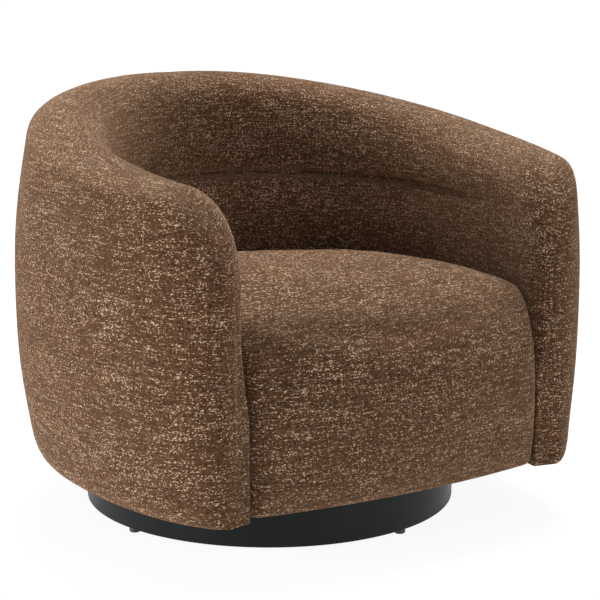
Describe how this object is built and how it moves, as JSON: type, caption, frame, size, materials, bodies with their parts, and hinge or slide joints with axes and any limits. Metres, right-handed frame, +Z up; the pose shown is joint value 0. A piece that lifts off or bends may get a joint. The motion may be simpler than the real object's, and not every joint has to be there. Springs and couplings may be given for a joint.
{
  "type": "swivel chair",
  "caption": "Upholstered barrel swivel chair: wraparound arms and back, attached seat block, and a low round plinth with a roller swivel.",
  "frame": {"origin": "on the floor at the swivel's axis, which is the middle of the overall box", "axes": "+Z up, the sitter faces -Y, +X to the right seen from the front"},
  "size_m": [0.879, 0.826, 0.691],
  "materials": {
    "upholstery": "brown tweed with pale flecks",
    "black_cloth": "thin non-woven cloth",
    "webbing": "elastic webbing",
    "plinth_black": "satin black lacquer",
    "ply": "raw birch ply",
    "hardwood": "raw hardwood",
    "steel": "zinc plated",
    "nylon": "black nylon"
  },
  "bodies": {
    "base": {"floor_glides": "nylon", "plinth_ring": "plinth_black", "plinth_top_panel": "ply", "plinth_brace_long": "hardwood", "plinth_brace_cross": "hardwood", "swivel_lower_plate": "steel", "lower_plate_screws": "steel", "pivot_bolt": "steel"},
    "bearing": {"roller_cage": "nylon", "bearing_rollers": "steel"},
    "seat": {"swivel_upper_plate": "steel", "upper_plate_screws": "steel", "swivel_board": "ply", "bottom_frame": "ply", "swivel_rails": "hardwood", "shell_ribs": "ply", "front_posts": "ply", "top_rail": "ply", "seat_deck": "ply", "deck_cleats": "hardwood", "seat_front_rail": "ply", "corner_blocks": "hardwood", "webbing_lengthwise": "webbing", "webbing_crosswise": "webbing", "outer_cover": "upholstery", "inside_back_pad": "upholstery", "arm_front_pad_left": "upholstery", "arm_front_pad_right": "upholstery", "seat_cushion": "upholstery", "dust_cover": "black_cloth"}
  },
  "joints": [
    {"name": "swivel", "type": "hinge", "parent": "base", "child": "seat", "pos_m": [0, 0, 0.091], "axis": [0, 0, 1], "continuous": true},
    {"name": "cage_turn", "type": "hinge", "parent": "base", "child": "bearing", "pos_m": [0, 0, 0.091], "axis": [0, 0, 1], "continuous": true}
  ],
  "couplings": [
    {"joint": "cage_turn", "follows": "swivel", "ratio": 0.5}
  ]
}
